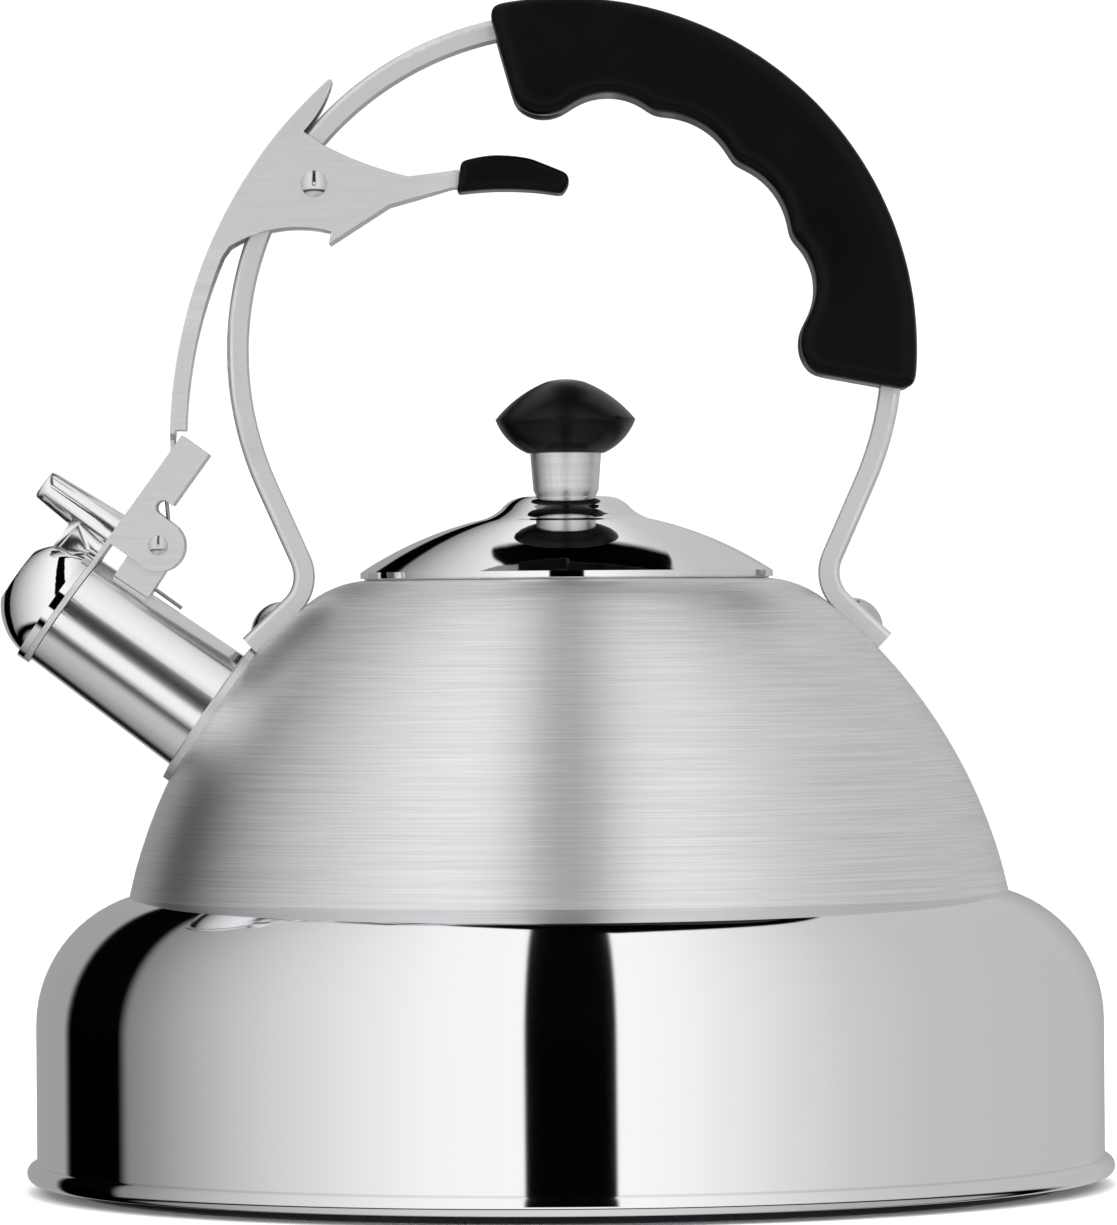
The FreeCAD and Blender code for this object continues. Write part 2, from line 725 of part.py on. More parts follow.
def return_spring():
    """Torsion spring round the hinge pin: one leg lies on the clevis, one behind the bracket's strip."""
    wire, coil, pitch = value("spring_wire"), value("spring_coil"), value("spring_pitch")
    out, back = value("hinge_out"), value("hinge_back")
    extra = 90 - value("spring_lean")
    length = pitch * (value("spring_turns") + extra / 360)
    helix = Part.makeHelix(pitch, length, coil)
    section = Part.Wire(Part.makeCircle(wire, Vector(coil, 0, 0), ACROSS))
    coils = Part.Wire(helix).makePipeShell([section], True, True)
    lay = Placement(Vector(out, length / 2, -back), Rotation(Vector(1, 0, 0), 90))
    coils.Placement = lay.multiply(Placement(Vector(), Rotation(UP, -90)))
    near, far = length / 2, -length / 2
    lean = math.radians(value("spring_lean"))
    rest = value("spout_radius + bracket_sheet") + wire
    free = Vector(out + coil * math.cos(lean), far, -back - coil * math.sin(lean))
    run = (value("ring_front - bracket_sheet") - wire - free.z) / math.cos(lean)
    runs = [
        (Vector(out, near, -back - coil), Vector(rest, near, -back - coil)),
        (Vector(rest, near, wire - back - coil), Vector(rest, near, -back - coil - 8.5)),
        (free, free + Vector(math.sin(lean), 0, math.cos(lean)) * run),
    ]
    solids = [Part.makeCylinder(wire, (end - start).Length, start, end - start) for start, end in runs]
    made = doc.addObject("Part::Feature", "return_spring_solid")
    made.Shape = coils.fuse(solids)
    made.Placement = spout_place()
    return made


# whistle cap
def cap_bracket():
    """Stamped bracket: a ring behind the cap, a channel strip above it and two hinge ears."""
    place = spout_place()
    ring = turned(
        "bracket_ring",
        [
            ("ring_bore", "ring_gap"),
            ("ring_radius", "ring_gap"),
            ("ring_radius", "ring_front"),
            ("ring_bore", "ring_front"),
        ],
        place=place,
    )
    body = new_body("bracket_channel")
    low, high = "hinge_out - ear_lobe", "hinge_out + ear_lobe"
    lip = "notch_radius - strip_flange"
    side = outline(
        body, "bracket_side", "XZ_Plane",
        [
            (low, "ring_front"),
            (low, "-hinge_back"),
            ("hinge_out", "-hinge_back - ear_lobe"),
            (high, "-hinge_back"),
            ("notch_out - notch_radius", lip),
            ("notch_out", f"{lip} + notch_radius"),
            ("notch_out + notch_radius", lip),
            ("notch_out + notch_radius", "-strip_flange"),
            ("strip_top", "-strip_flange"),
            ("strip_top", "ring_front"),
        ],
        {1: ("ear_lobe", 1), 2: ("ear_lobe", 1), 4: ("notch_radius", -1), 5: ("notch_radius", -1)},
    )
    across(body, side, "bracket_width")
    inside = outline(
        body, "bracket_inside", "XZ_Plane",
        [
            (f"{low} - 1", "-hinge_back - 2 * ear_lobe"),
            ("strip_top + 1", "-hinge_back - 2 * ear_lobe"),
            ("strip_top + 1", "ring_front - bracket_sheet"),
            (f"{low} - 1", "ring_front - bracket_sheet"),
        ],
    )
    across(body, inside, "bracket_width - 2 * bracket_sheet", solid=False)
    drill(body, "bracket_hole", "hinge_out", "-hinge_back", "hinge_pin + pin_gap")
    body.Placement = place
    tab = box(
        "bracket_tab",
        ("ring_bore + 1", "-bracket_width / 2", "ring_front - bracket_sheet"),
        (f"{low} + 1", "bracket_width / 2", "ring_front"),
        place,
    )
    slot = box(
        "bracket_slot",
        ("slot_low", "-slot_width / 2", "-2"),
        ("slot_high", "slot_width / 2", "ring_front + 2"),
        place,
    )
    return cut("bracket_cut", join("bracket_whole", ring, tab, body), slot)


def cap_bowl(name, shrink, hollow):
    """The cap's bowl as a solid, or its hollow, its rounded side taken in by shrink."""
    face = f"rim_front + cap_depth - ({shrink})"
    low = "ring_front + cap_wall" if hollow else "ring_front"
    foot = f"cap_root - ({shrink})"
    edge = [("cap_rim", low), ("cap_rim", "rim_front")] if not hollow else [(foot, low)]
    points = [(0, low), *edge, (foot, "rim_front"), (f"cap_face - ({shrink}) / 3", face), (0, face)]
    return turned(name, points, {len(points) - 3: (f"cap_arc - ({shrink}) / 2", 1)}, spout_place())


def steam_hole():
    """Passage from the bowl up into the whistle horn."""
    made = doc.addObject("Part::Cylinder", "steam_hole")
    made.Radius = value("horn_bore") * 0.8
    made.setExpression("Radius", formula("horn_bore * 0.8"))
    made.Height = value("horn_out") - 6
    made.setExpression("Height", formula("horn_out - 6"))
    start = spout_place(6, value("rim_front + neck_front / 2"))
    made.Placement = start.multiply(Placement(Vector(), Rotation(ACROSS, 90)))
    return made


def whistle_horn(bowl, steam):
    """Tapered horn on top of the cap, with the web that joins them and its bore."""
    tip = "rim_front + horn_tip"
    place = spout_place(value("horn_out"))
    horn = turned(
        "horn_cone",
        [
            (0, "ring_front"),
            ("horn_back", "ring_front"),
            ("horn_front", f"{tip} - 0.4"),
            ("horn_front - 0.4", tip),
            (0, tip),
        ],
        place=place,
    )
    low = "rim_front + 1"
    bore = turned(
        "horn_bore_solid",
        [(0, low), ("horn_bore", low), ("horn_bore", f"{tip} + 1"), (0, f"{tip} + 1")],
        place=place,
    )
    neck = box(
        "horn_neck",
        ("cap_face", "-neck_width / 2", "ring_front"),
        ("horn_out", "neck_width / 2", "rim_front + neck_front"),
        spout_place(),
    )
    return cut("horn_cut", join("horn_whole", horn, neck), bowl, bore, steam)


def whistle_plate():
    low, high = "ring_front + cap_wall", "ring_front + cap_wall + plate_thick"
    edge = "cap_root - cap_wall"
    points = [("plate_hole", low), (edge, low), (edge, high), ("plate_hole", high)]
    return turned("whistle_plate_body", points, place=spout_place())


def whistle_cup():
    """Shallow cup on the whistle plate, with the second of the two holes that make the note."""
    low = "ring_front + cap_wall + plate_thick"
    high = f"{low} + cup_height"
    return turned(
        "whistle_cup_body",
        [
            ("cup_radius - plate_thick", low),
            ("cup_radius", low),
            ("cup_radius", high),
            ("plate_hole", high),
            ("plate_hole", f"{high} - plate_thick"),
            ("cup_radius - plate_thick", f"{high} - plate_thick"),
        ],
        place=spout_place(),
    )


# handle
def strap_sweep():
    body = new_body("strap_body")
    knee_in = ("knee_x + knee_cut * sin(bow_end)", "knee_z + knee_cut * cos(bow_end)")
    knee_out = ("knee_x + knee_cut * foot_nz", "knee_z - knee_cut * foot_nx")
    foot_end = ("foot_x + foot_half * foot_nz", "foot_z - foot_half * foot_nx")
    path = outline(
        body, "strap_path", "XZ_Plane",
        [(0, "bow_height + bow_radius"), ("bow_end_x", "bow_end_z"), knee_in, knee_out, foot_end],
        {0: ("bow_radius", -1), 2: ("knee_arc", 1)},
        closed=False,
    )
    top, low = "bow_height + strap_out", "bow_height + strap_in"
    half, bend = "strap_width / 2", "strap_bend"
    section = outline(
        body, "strap_section", "YZ_Plane",
        [
            (f"{half} - strap_sheet", low),
            (half, low),
            (half, f"{top} - {bend}"),
            (f"{half} - {bend}", top),
            (f"{bend} - {half}", top),
            (f"-{half}", f"{top} - {bend}"),
            (f"-{half}", low),
            (f"strap_sheet - {half}", low),
            (f"strap_sheet - {half}", f"{top} - strap_sheet"),
            (f"{half} - strap_sheet", f"{top} - strap_sheet"),
        ],
        {2: (bend, 1), 4: (bend, 1)},
    )
    sweep = body.newObject("PartDesign::AdditivePipe", "strap_sweep")
    sweep.Profile = section
    sweep.Spine = path
    mirror = body.newObject("PartDesign::Mirrored", "strap_mirror")
    mirror.Originals = [sweep]
    mirror.MirrorPlane = (plane(body, "YZ_Plane"), [""])
    body.Tip = mirror
    return body


def foot_rivet(name, side):
    """Domed rivet through the strap's foot and the dome, with its tail under the inside washer."""
    low = "sheet + washer_thick"
    face = "strap_depth - foot_bite"
    return turned(
        name,
        [
            (0, f"-({low}) - tail_thick"),
            ("tail_radius", f"-({low}) - tail_thick"),
            ("tail_radius", f"-({low})"),
            ("rivet_radius", f"-({low})"),
            ("rivet_radius", face),
            ("rivet_head", face),
            (0, f"{face} + rivet_rise"),
        ],
        {5: (crown("rivet_head", "rivet_rise"), 1)},
        foot_place(side),
    )


def rivet_hole(name, side):
    far = "strap_depth + 20"
    return turned(name, [(0, -20), ("rivet_radius", -20), ("rivet_radius", far), (0, far)], place=foot_place(side))


def foot_washer(name, side, inside):
    """Washer pressed against the inside of the dome under a foot rivet."""
    low = "-sheet - washer_thick"
    ring = turned(
        name + "_ring",
        [("rivet_radius", low), ("foot_washer", low), ("foot_washer", 0), ("rivet_radius", 0)],
        place=foot_place(side),
    )
    return overlap_of(name + "_shape", ring, inside)


def grip_outline():
    """Finger side of the grip, from its upper end round the bow to its lower end."""
    middle = "(grip_high + grip_low) / 2"
    first, last = "grip_high - end_lean", "grip_low + end_lean"
    points = [
        bow_point("strap_out", "grip_high"),
        bow_point("swell_end", first),
        bow_point("swell_radius", f"{first} - swell_span"),
        bow_point("grip_ridge", f"{middle} + finger_pitch"),
        bow_point("grip_ridge", middle),
        bow_point("grip_ridge", f"{middle} - finger_pitch"),
        bow_point("swell_radius", f"{last} + swell_span"),
        bow_point("swell_end", last),
        bow_point("strap_out", "grip_low"),
    ]
    arcs = {
        1: ("swell_arc", 1),
        2: ("end_arc", -1),
        3: ("finger_arc", -1),
        4: ("finger_arc", -1),
        5: ("end_arc", -1),
        6: ("swell_arc", 1),
        8: ("strap_out", 1),
    }
    return points, arcs


def grip_cover_blank():
    points = [
        bow_point("strap_out", "grip_low"),
        bow_point("grip_outer", "grip_low + 0.6"),
        bow_point("grip_outer", "grip_high - 0.6"),
        bow_point("strap_out", "grip_high"),
    ]
    return plate("grip_cover_pad", points, "grip_width", {1: ("grip_outer", 1), 3: ("strap_out", -1)})


def grip_screw(name, degrees, spare=0):
    """A pan-head screw from the finger side into the cover. With spare it is the hole cut for it."""
    back = f"grip_screw_head * 0.7 + {spare} * 10"
    head = f"grip_screw_head + {spare} * 0.3"
    length = "grip_screw_end - grip_screw_seat"
    points = [
        (0, f"-({back})"),
        (head, f"-({back})"),
        (head, 0),
        ("grip_screw", 0),
        ("grip_screw", length),
        (0, length),
    ]
    return turned(name, points, place=bow_place(degrees, value("grip_screw_seat")))


def pivot_lug():
    """Block set in the strap's channel that carries the lever rivet."""
    run, rise = value("pivot_x"), value("pivot_z - bow_height")
    reach = "sqrt(pivot_x^2 + (pivot_z - bow_height)^2)"
    top = "strap_out - strap_sheet - 0.2"
    body = new_body("pivot_lug_body")
    side = outline(
        body, "lug_side", "XZ_Plane",
        [
            ("lug_lobe", reach),
            ("lug_lobe", top),
            ("-lug_lobe", top),
            ("-lug_lobe", reach),
            (0, f"{reach} - lug_lobe"),
        ],
        {3: ("lug_lobe", 1), 4: ("lug_lobe", 1)},
    )
    across(body, side, "strap_width - 2 * strap_sheet")
    drill(body, "lug_hole", 0, reach, "pivot_pin")
    body.Placement = bow_place(math.degrees(math.atan2(rise, run)), 0)
    return body


# lever
def lever_side():
    """Side view of the lever: its curved back, the tongue, the long arm, the cheeks and the tip."""
    points = [
        back_point("back_arc", "spike_end"),
        back_point("back_arc", "tongue_end"),
        back_point("back_in", "tongue_end"),
        back_point("back_in", "arm_end"),
        back_point("arm_in", "arm_end"),
        back_point("arm_in", "cheek_low"),
        ("pivot_x - 17.2", "pivot_z - 12.6"),
        ("pivot_x + 3.8", "pivot_z - 9.8"),
        ("pivot_x + 19.3", "pivot_z + 1.3"),
        ("pivot_x + 1.7", "pivot_z + 8"),
        ("pivot_x - 2.1", "pivot_z + 10.6"),
        ("pivot_x + 3.8", "pivot_z + 21.1"),
    ]
    arcs = {
        0: ("back_arc", 1),
        2: ("back_in", -1),
        4: ("arm_in", -1),
        6: ("26", -1),
        7: ("45", -1),
        8: ("70", -1),
        10: ("24", 1),
    }
    return points, arcs


def lever_front(spare):
    """Front view of the lever, its half widths taken in by spare."""
    take = f" - ({spare})"
    return mirrored([
        ("tongue_half" + take, "back_z - 30"),
        ("tongue_half" + take, "back_z + 1.2"),
        ("arm_half" + take, "back_z + 2.4"),
        ("arm_half" + take, "back_z + 24"),
        ("cheek_outer" + take, "back_z + 40"),
        ("cheek_outer" + take, "back_z + 62"),
        ("spike_half" + take, "back_z + 78"),
    ])


def trigger_top(spare):
    """Top view of the trigger, its half widths taken in by spare."""
    wide, slim = f"cheek_outer - ({spare})", f"trigger_half - ({spare})"
    right = [
        (wide, "pivot_x - 10"),
        (wide, "pivot_x + 20.5"),
        (slim, "pivot_x + 27"),
        (slim, "pivot_x + 60"),
    ]
    both = [*((x, f"-({y})") for y, x in right), *((x, y) for y, x in reversed(right))]
    return both


def trigger_floor(rise):
    """Underside of the trigger arm, raised by rise."""
    return [
        ("pivot_x + 2.9", f"pivot_z - 12.2 + ({rise})"),
        ("pivot_x + 15.1", f"pivot_z - 4.4 + ({rise})"),
        ("pivot_x + 27.9", f"pivot_z - 0.9 + ({rise})"),
        ("pivot_x + trigger_reach", f"pivot_z - 0.4 + ({rise})"),
    ]


def trigger_side():
    top = [
        ("pivot_x + trigger_reach", "pivot_z + 2.2"),
        ("pivot_x + 28.6", "pivot_z + 2.7"),
        ("pivot_x + 15.5", "pivot_z + 0.8"),
        ("pivot_x + 3.8", "pivot_z - 7.8"),
    ]
    return [*trigger_floor("0"), *top]


def trigger_lever():
    points, arcs = lever_side()
    outer = overlap_of(
        "lever_outer",
        plate("lever_side_pad", points, "2 * cheek_outer", arcs),
        plate("lever_front_pad", lever_front("0"), "400", role="YZ_Plane"),
    )
    hollow = [
        back_point("back_in", "spike_end + 2"),
        back_point("back_in", "arm_end"),
        ("pivot_x + 30", "pivot_z - 80"),
        ("pivot_x + 30", "pivot_z + 40"),
    ]
    inner = overlap_of(
        "lever_inner",
        plate("lever_hollow_pad", hollow, "2 * cheek_outer", {0: ("back_in", 1)}),
        plate("lever_core_pad", lever_front("lever_sheet"), "400", role="YZ_Plane"),
    )
    trigger = overlap_of(
        "trigger_outer",
        plate("trigger_side_pad", trigger_side(), "2 * cheek_outer"),
        plate("trigger_top_pad", trigger_top("0"), "600", role="XY_Plane"),
    )
    above = [*trigger_floor("lever_sheet"), ("pivot_x + 60", "pivot_z + 20"), ("pivot_x - 20", "pivot_z + 20")]
    above[3] = ("pivot_x + 60", "pivot_z - 0.4 + lever_sheet")
    trough = overlap_of(
        "trigger_inner",
        plate("trigger_trough_pad", above, "2 * cheek_outer"),
        plate("trigger_core_pad", trigger_top("lever_sheet"), "600", role="XY_Plane"),
    )
    whole = join("lever_whole", cut("lever_shell", outer, inner), cut("trigger_shell", trigger, trough))
    size = "pivot_pin + pin_gap"
    hole = turned("lever_hole", [(0, -40), (size, -40), (size, 40), (0, 40)], place=pivot_place())
    return cut("lever_cut", whole, hole)


def pivot_place():
    return crosswise(Placement(Vector(value("pivot_x"), 0, value("pivot_z")), Rotation()))


def trigger_sleeve(lever):
    """Soft sleeve moulded over the end of the trigger."""
    start, end = "pivot_x + sleeve_start", "pivot_x + sleeve_end"
    points = [
        (start, "pivot_z - 2.1"),
        (f"{start} + 10", "pivot_z - 1.4"),
        (f"{end} - 1.6", "pivot_z - 2.5"),
        (end, "pivot_z + 0.2"),
        (f"{end} - 0.6", "pivot_z + 1.9"),
        (f"{end} - 8", "pivot_z + 4.9"),
        (f"{start} + 8", "pivot_z + 5.7"),
        (f"{start} + 1", "pivot_z + 4.4"),
    ]
    arcs = {0: ("60", -1), 1: ("60", -1), 5: ("40", 1), 6: ("30", 1)}
    return cut("sleeve_cut", plate("sleeve_pad", points, "sleeve_width", arcs), lever)


outer_dome = dome_solid("dome_filled", "0")
inner_dome = dome_solid("dome_hollow", "-sheet")
foot_holes = [rivet_hole("left_rivet_hole", -1), rivet_hole("right_rivet_hole", 1)]
spout_bore = spout_cone("spout_bore", "spout_sheet", "6", "-spout_length - 20")
spout_core = spout_cone("spout_core", "0", "0", "-spout_length - 20")

node("lower_shell", lower_shell())
node("upper_dome", upper_dome(spout_bore, *foot_holes))
node("heat_disc", heat_disc())
node("base_cap", base_cap())

node("spout_tube", cut("spout_cut", spout_core, spout_bore, outer_dome))
flange = turned(
    "flange_blank",
    [(0, "-spout_length - 20"), ("flange_radius", "-spout_length - 20"), ("flange_radius", "-20"), (0, "-20")],
    place=spout_place(),
)
collar = overlap_of("flange_skin", flange, dome_solid("dome_grown", "flange_thick"))
node("spout_flange", cut("flange_cut", collar, outer_dome, spout_core))
node("spout_bracket", cut("clevis_cut", clevis(), spout_core))
hinge_half = "bracket_width / 2 + side_gap / 2"
node("hinge_pin", riveted_pin(
    "hinge_pin_body", "hinge_pin", "hinge_head", hinge_half, "0.7",
    crosswise(spout_place(value("hinge_out"), -value("hinge_back"))),
))
node("return_spring", return_spring())

strap = cut("strap_cut", strap_sweep(), outer_dome, *foot_holes)
grip_angles = (value("grip_high") - 7, value("grip_low") + 8.5)
screw_holes = [grip_screw(f"grip_screw_hole_{i}", a, 1) for i, a in enumerate(grip_angles)]
strap = node("handle_strap", cut("strap_drilled", strap, *screw_holes))
sides, curves = grip_outline()
fingers = plate("grip_body_pad", sides, "grip_width", curves)
node("grip_body", cut("grip_body_cut", fingers, strap, *screw_holes))
node("grip_cover", cut("grip_cover_cut", grip_cover_blank(), *screw_holes))
node("grip_screws", join("grip_screw_pair", *(grip_screw(f"grip_screw_{i}", a) for i, a in enumerate(grip_angles))))
node("foot_rivets", join("rivet_pair", foot_rivet("left_rivet", -1), foot_rivet("right_rivet", 1)))
node("foot_washers", join("washer_pair", *(foot_washer(f"foot_washer_{k}", k, inner_dome) for k in (-1, 1))))
node("pivot_lug", pivot_lug())
node("lever_rivet", riveted_pin(
    "lever_rivet_body", "pivot_pin", "pivot_head", "cheek_outer + side_gap / 2", "0.9", pivot_place(),
))

lever = node("trigger_lever", trigger_lever())
node("trigger_sleeve", trigger_sleeve(lever))

bowl = cap_bowl("cap_bowl_solid", "0", hollow=False)
hollow = cap_bowl("cap_bowl_hollow", "cap_wall", hollow=True)
throat = turned(
    "cap_throat",
    [(0, "-1"), ("ring_bore", "-1"), ("ring_bore", "ring_front + 2 * cap_wall"), (0, "ring_front + 2 * cap_wall")],
    place=spout_place(),
)
steam = steam_hole()
node("cap_bracket", cap_bracket())
node("cap_shell", cut("cap_shell_cut", bowl, hollow, throat, steam))
node("whistle_horn", whistle_horn(bowl, steam))
node("whistle_plate", whistle_plate())
node("whistle_cup", whistle_cup())

node("lid_shell", lid_shell())
node("lid_skirt", lid_skirt())
node("knob_ferrule", knob_ferrule())
node("knob", knob())
node("knob_washer", knob_washer())
node("knob_screw", knob_screw())

doc.recompute()
for made in doc.Objects:
    if "Invalid" in made.State or "Error" in made.State:
        raise RuntimeError(f"{made.Label} did not recompute: {made.State}")
for made in NODES:
    if made.Shape.isNull() or not made.Shape.isValid():
        raise RuntimeError(f"{made.Label} is not a valid shape")

os.makedirs(OUT, exist_ok=True)
for made in NODES:
    made.Shape.exportStep(os.path.join(OUT, made.Label + ".step"))
    print(f"{made.Label:16} {len(made.Shape.Solids)} solid(s) {made.Shape.Volume:12.1f} mm3")
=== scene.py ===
import bpy, bmesh, math
from mathutils import Matrix, Vector


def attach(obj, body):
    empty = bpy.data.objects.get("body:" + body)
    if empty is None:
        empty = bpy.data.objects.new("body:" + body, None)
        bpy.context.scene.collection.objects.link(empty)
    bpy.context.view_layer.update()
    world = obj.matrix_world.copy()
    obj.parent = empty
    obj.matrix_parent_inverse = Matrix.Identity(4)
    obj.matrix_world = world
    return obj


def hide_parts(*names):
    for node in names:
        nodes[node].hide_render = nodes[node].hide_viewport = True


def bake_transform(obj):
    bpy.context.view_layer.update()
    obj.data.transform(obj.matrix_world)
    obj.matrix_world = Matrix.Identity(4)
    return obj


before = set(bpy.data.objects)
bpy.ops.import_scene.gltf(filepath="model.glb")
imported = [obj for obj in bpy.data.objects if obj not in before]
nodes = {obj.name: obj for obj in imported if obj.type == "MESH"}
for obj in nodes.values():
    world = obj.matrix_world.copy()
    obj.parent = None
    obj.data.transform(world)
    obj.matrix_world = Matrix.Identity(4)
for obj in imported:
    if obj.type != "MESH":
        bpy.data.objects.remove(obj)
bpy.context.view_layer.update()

mm = 0.001
radian = 57.3  # degrees
scene = bpy.context.scene


def linearColour(hexText):
    parts = [int(hexText[i:i + 2], 16) / 255 for i in (1, 3, 5)]
    return tuple(c / 12.92 if c <= 0.04045 else ((c + 0.055) / 1.055) ** 2.4 for c in parts) + (1.0,)


def shaded(colour, factor):
    return tuple(c * factor for c in colour[:3]) + (1.0,)


def addNode(tree, kind, settings=None, links=None):
    node = tree.nodes.new(kind)
    for key, setting in (settings or {}).items():
        if isinstance(key, int) or key in node.inputs:
            node.inputs[key].default_value = setting
        else:
            setattr(node, key, setting)
    for key, (source, output) in (links or {}).items():
        tree.links.new(source.outputs[output], node.inputs[key])
    return node


def startMaterial(name, settings):
    material = bpy.data.materials.new(name)
    material.use_nodes = True
    tree = material.node_tree
    shader = tree.nodes["Principled BSDF"]
    for key, setting in settings.items():
        shader.inputs[key].default_value = setting
    return material, tree, shader


def spreadNoise(tree, noise, low, high):  # noise seldom leaves 0.3 to 0.7, so that much fills the whole range
    limits = {"From Min": 0.3, "From Max": 0.7, "To Min": low, "To Max": high}
    return addNode(tree, "ShaderNodeMapRange", limits, {"Value": (noise, 0)})


# 18/10 stainless, pressed and buffed: clear reflections, faintly clouded where the mop pressed less
def mirrorSteel(name, haze):
    s = {"tint": "#e8e8ea", "polishMarks": 0.02, "markSize": 40}
    material, tree, shader = startMaterial(name, {"Base Color": linearColour(s["tint"]), "Metallic": 1.0})
    place = addNode(tree, "ShaderNodeTexCoord")
    marks = {"Scale": 1000 / s["markSize"], "Detail": 3.0}
    cloud = addNode(tree, "ShaderNodeTexNoise", marks, {"Vector": (place, "Object")})
    limits = {"To Min": haze, "To Max": haze + s["polishMarks"]}
    rough = addNode(tree, "ShaderNodeMapRange", limits, {"Value": (cloud, 0)})
    tree.links.new(rough.outputs[0], shader.inputs["Roughness"])
    return material


# stainless turned against an abrasive belt: fine rings round the axis, which draw lights out up and down it.
# real rings are finer than this; they are drawn 0.35 mm apart so that they show
def ringBrushedSteel():
    s = {"light": "#f2f2f3", "dark": "#dcdcde", "lightStop": 0.64, "darkStop": 0.36, "ringMm": 0.35,
         "streakDegrees": 30, "roughLow": 0.4, "roughHigh": 0.46, "relief": 0.2, "depth": 0.00004,
         "drawnOut": 0.6, "drawnTurn": 0.25}
    grooves = {"Metallic": 1.0, "Anisotropic": s["drawnOut"], "Anisotropic Rotation": s["drawnTurn"]}
    material, tree, shader = startMaterial("ringBrushedStainless", grooves)
    place = addNode(tree, "ShaderNodeTexCoord")
    parts = addNode(tree, "ShaderNodeSeparateXYZ", links={0: (place, "Object")})
    backwards = addNode(tree, "ShaderNodeMath", {"operation": "MULTIPLY", 1: -1.0}, {0: (parts, 1)})
    turn = addNode(tree, "ShaderNodeMath", {"operation": "ARCTAN2"}, {0: (parts, 0), 1: (backwards, 0)})
    streaks = {"operation": "MULTIPLY", 1: radian / s["streakDegrees"]}
    across = addNode(tree, "ShaderNodeMath", streaks, {0: (turn, 0)})
    down = addNode(tree, "ShaderNodeMath", {"operation": "MULTIPLY", 1: 1000 / s["ringMm"]}, {0: (parts, 2)})
    stretched = addNode(tree, "ShaderNodeCombineXYZ", links={0: (across, 0), 1: (down, 0)})
    grain = {"Scale": 1.0, "Detail": 4.0, "Roughness": 0.65}
    rings = addNode(tree, "ShaderNodeTexNoise", grain, {"Vector": (stretched, 0)})
    colour = addNode(tree, "ShaderNodeValToRGB", links={"Fac": (rings, 0)})
    stops = ((s["darkStop"], s["dark"]), (s["lightStop"], s["light"]))
    for element, (position, tint) in zip(colour.color_ramp.elements, stops):
        element.position = position
        element.color = linearColour(tint)
    rough = spreadNoise(tree, rings, s["roughLow"], s["roughHigh"])
    relief = {"Strength": s["relief"], "Distance": s["depth"]}
    bump = addNode(tree, "ShaderNodeBump", relief, {"Height": (rings, 0)})
    tree.links.new(colour.outputs[0], shader.inputs["Base Color"])
    tree.links.new(rough.outputs[0], shader.inputs["Roughness"])
    tree.links.new(bump.outputs[0], shader.inputs["Normal"])
    return material


# metal linished on a fine belt: a soft, even shine with faint lines, drawn coarse so that they show.
# the lines run the length of a strip, or level where a plate or a turned piece asks for it
def satinSteel(name, tint, rough, lineMm, level=False):
    s = {"alongLine": 70.0, "roughSpread": 0.1, "darkest": 0.78, "relief": 0.15, "depth": 0.00003}
    material, tree, shader = startMaterial(name, {"Metallic": 1.0})
    place = addNode(tree, "ShaderNodeTexCoord")
    along, over = s["alongLine"], 1000 / lineMm
    scale = (along, along, over) if level else (along, over, along)
    stretch = addNode(tree, "ShaderNodeMapping", {"Scale": scale}, {"Vector": (place, "Object")})
    lines = addNode(tree, "ShaderNodeTexNoise", {"Scale": 1.0, "Detail": 3.0}, {"Vector": (stretch, 0)})
    shine = spreadNoise(tree, lines, rough, rough + s["roughSpread"])
    base = linearColour(tint)
    tints = {"data_type": "RGBA", 6: base, 7: shaded(base, s["darkest"])}
    colour = addNode(tree, "ShaderNodeMix", tints, {0: (lines, 0)})
    relief = {"Strength": s["relief"], "Distance": s["depth"]}
    bump = addNode(tree, "ShaderNodeBump", relief, {"Height": (lines, 0)})
    tree.links.new(colour.outputs[2], shader.inputs["Base Color"])
    tree.links.new(shine.outputs[0], shader.inputs["Roughness"])
    tree.links.new(bump.outputs[0], shader.inputs["Normal"])
    return material


# glass-filled nylon, moulded against a fine spark-eroded tool: near black, its low shine uneven from handling
def mouldedNylon(name, tint, rough, grainMm, depth, shine):
    s = {"refraction": 1.53, "wearScale": 60.0, "roughSpread": 0.08, "palest": 1.5, "relief": 0.25}
    surface = {"IOR": s["refraction"], "Specular IOR Level": shine}
    material, tree, shader = startMaterial(name, surface)
    place = addNode(tree, "ShaderNodeTexCoord")
    sparks = {"Scale": 1000 / grainMm, "Detail": 2.0}
    grain = addNode(tree, "ShaderNodeTexNoise", sparks, {"Vector": (place, "Object")})
    handling = {"Scale": s["wearScale"], "Detail": 3.0}
    wear = addNode(tree, "ShaderNodeTexNoise", handling, {"Vector": (place, "Object")})
    polish = spreadNoise(tree, wear, rough, rough + s["roughSpread"])
    base = linearColour(tint)
    tints = {"data_type": "RGBA", 6: base, 7: shaded(base, s["palest"])}
    colour = addNode(tree, "ShaderNodeMix", tints, {0: (wear, 0)})
    relief = {"Strength": s["relief"], "Distance": depth}
    bump = addNode(tree, "ShaderNodeBump", relief, {"Height": (grain, 0)})
    tree.links.new(colour.outputs[2], shader.inputs["Base Color"])
    tree.links.new(polish.outputs[0], shader.inputs["Roughness"])
    tree.links.new(bump.outputs[0], shader.inputs["Normal"])
    return material


